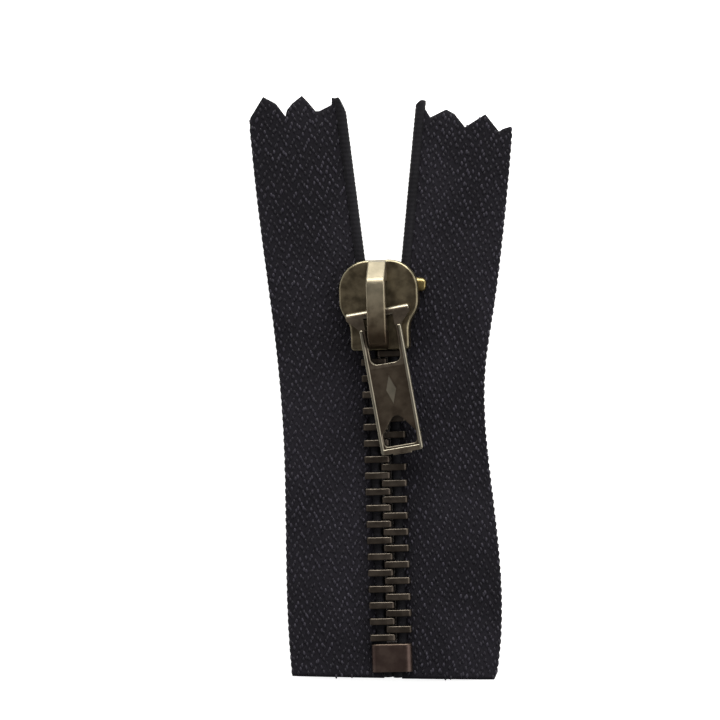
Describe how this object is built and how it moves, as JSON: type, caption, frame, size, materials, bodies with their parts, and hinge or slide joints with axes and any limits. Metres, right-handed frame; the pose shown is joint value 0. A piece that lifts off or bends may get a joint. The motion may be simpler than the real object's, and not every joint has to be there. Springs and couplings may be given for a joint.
{
  "type": "closed-end metal zipper",
  "caption": "Short closed-end metal zipper with woven tapes, crimped teeth, top and bottom stops, and a slider with a framed pull tab.",
  "frame": {"origin": "centre of the base of the whole zip as it lies face up", "axes": "+Y along the chain towards the open end, +X to the right seen from the front, +Z out of the front face"},
  "size_m": [0.0326, 0.073, 0.0075],
  "materials": {
    "tape_cloth": "black twill-woven tape",
    "bead_cord": "black corded edge",
    "tooth_brass": "dark antique brass",
    "bottom_stop_metal": "dark antique brass, pressed",
    "top_stop_brass": "worn bright brass",
    "slider_brass": "antique brass with bright worn edges",
    "crown_brass": "antique brass, rubbed bright at the front",
    "pull_brass": "antique brass with bright worn rims",
    "spring_steel": "plain spring steel"
  },
  "bodies": {
    "closed_end": {"bottom_stop": "bottom_stop_metal", "left_tooth_01": "tooth_brass", "left_tooth_02": "tooth_brass", "right_tooth_01": "tooth_brass", "right_tooth_02": "tooth_brass"},
    "left_side": {"left_tape": "tape_cloth", "left_cord": "bead_cord", "left_tooth_03": "tooth_brass", "left_tooth_04": "tooth_brass", "left_tooth_05": "tooth_brass", "left_tooth_06": "tooth_brass", "left_tooth_07": "tooth_brass", "left_tooth_08": "tooth_brass", "left_tooth_09": "tooth_brass", "left_tooth_10": "tooth_brass", "left_tooth_11": "tooth_brass", "left_tooth_12": "tooth_brass", "left_tooth_13": "tooth_brass", "left_tooth_14": "tooth_brass", "left_tooth_15": "tooth_brass", "left_tooth_16": "tooth_brass", "left_tooth_17": "tooth_brass", "left_tooth_18": "tooth_brass", "left_tooth_19": "tooth_brass", "left_tooth_20": "tooth_brass", "left_tooth_21": "tooth_brass", "left_tooth_22": "tooth_brass", "left_top_stop": "top_stop_brass"},
    "right_side": {"right_tape": "tape_cloth", "right_cord": "bead_cord", "right_tooth_03": "tooth_brass", "right_tooth_04": "tooth_brass", "right_tooth_05": "tooth_brass", "right_tooth_06": "tooth_brass", "right_tooth_07": "tooth_brass", "right_tooth_08": "tooth_brass", "right_tooth_09": "tooth_brass", "right_tooth_10": "tooth_brass", "right_tooth_11": "tooth_brass", "right_tooth_12": "tooth_brass", "right_tooth_13": "tooth_brass", "right_tooth_14": "tooth_brass", "right_tooth_15": "tooth_brass", "right_tooth_16": "tooth_brass", "right_tooth_17": "tooth_brass", "right_tooth_18": "tooth_brass", "right_tooth_19": "tooth_brass", "right_tooth_20": "tooth_brass", "right_tooth_21": "tooth_brass", "right_top_stop": "top_stop_brass"},
    "slider": {"slider_body": "slider_brass", "slider_crown": "crown_brass"},
    "lock": {"lock_spring": "spring_steel"},
    "pull": {"pull_tab": "pull_brass"}
  },
  "joints": [
    {"name": "slider_travel", "type": "slide", "parent": "closed_end", "child": "slider", "axis": [0, -1, 0], "range_m": [0, 0.036]},
    {"name": "left_side_opens", "type": "hinge", "parent": "closed_end", "child": "left_side", "pos_m": [-0.0018, -0.02772, 0.00235], "axis": [0, 0, 1], "range_deg": [0, 16.01], "deforming": ["left_tape", "left_cord", "left_tooth_03", "left_tooth_04", "left_tooth_05", "left_tooth_06", "left_tooth_07", "left_tooth_08", "left_tooth_09", "left_tooth_10", "left_tooth_11", "left_tooth_12", "left_tooth_13", "left_tooth_14", "left_tooth_15", "left_tooth_16", "left_tooth_17", "left_tooth_18", "left_tooth_19", "left_tooth_20", "left_tooth_21", "left_tooth_22"]},
    {"name": "right_side_opens", "type": "hinge", "parent": "closed_end", "child": "right_side", "pos_m": [0.0007, -0.02772, 0.00235], "axis": [0, 0, -1], "range_deg": [0, 16.01], "deforming": ["right_tape", "right_cord", "right_tooth_03", "right_tooth_04", "right_tooth_05", "right_tooth_06", "right_tooth_07", "right_tooth_08", "right_tooth_09", "right_tooth_10", "right_tooth_11", "right_tooth_12", "right_tooth_13", "right_tooth_14", "right_tooth_15", "right_tooth_16", "right_tooth_17", "right_tooth_18", "right_tooth_19", "right_tooth_20", "right_tooth_21"]},
    {"name": "pull_flip", "type": "hinge", "parent": "slider", "child": "pull", "pos_m": [-0.00055, 0.00903, 0.00575], "axis": [-0.9903, -0.1392, 0], "range_deg": [0, 150]},
    {"name": "lock_lifts", "type": "hinge", "parent": "slider", "child": "lock", "pos_m": [-0.00055, 0.01278, 0.0065], "axis": [-1, 0, 0], "range_deg": [0, 3.51]}
  ],
  "couplings": [
    {"joint": "left_side_opens", "follows": "slider_travel", "rad_per_m": 7.757},
    {"joint": "right_side_opens", "follows": "slider_travel", "rad_per_m": 7.757},
    {"joint": "lock_lifts", "follows": "pull_flip", "ratio": 0.023333}
  ]
}
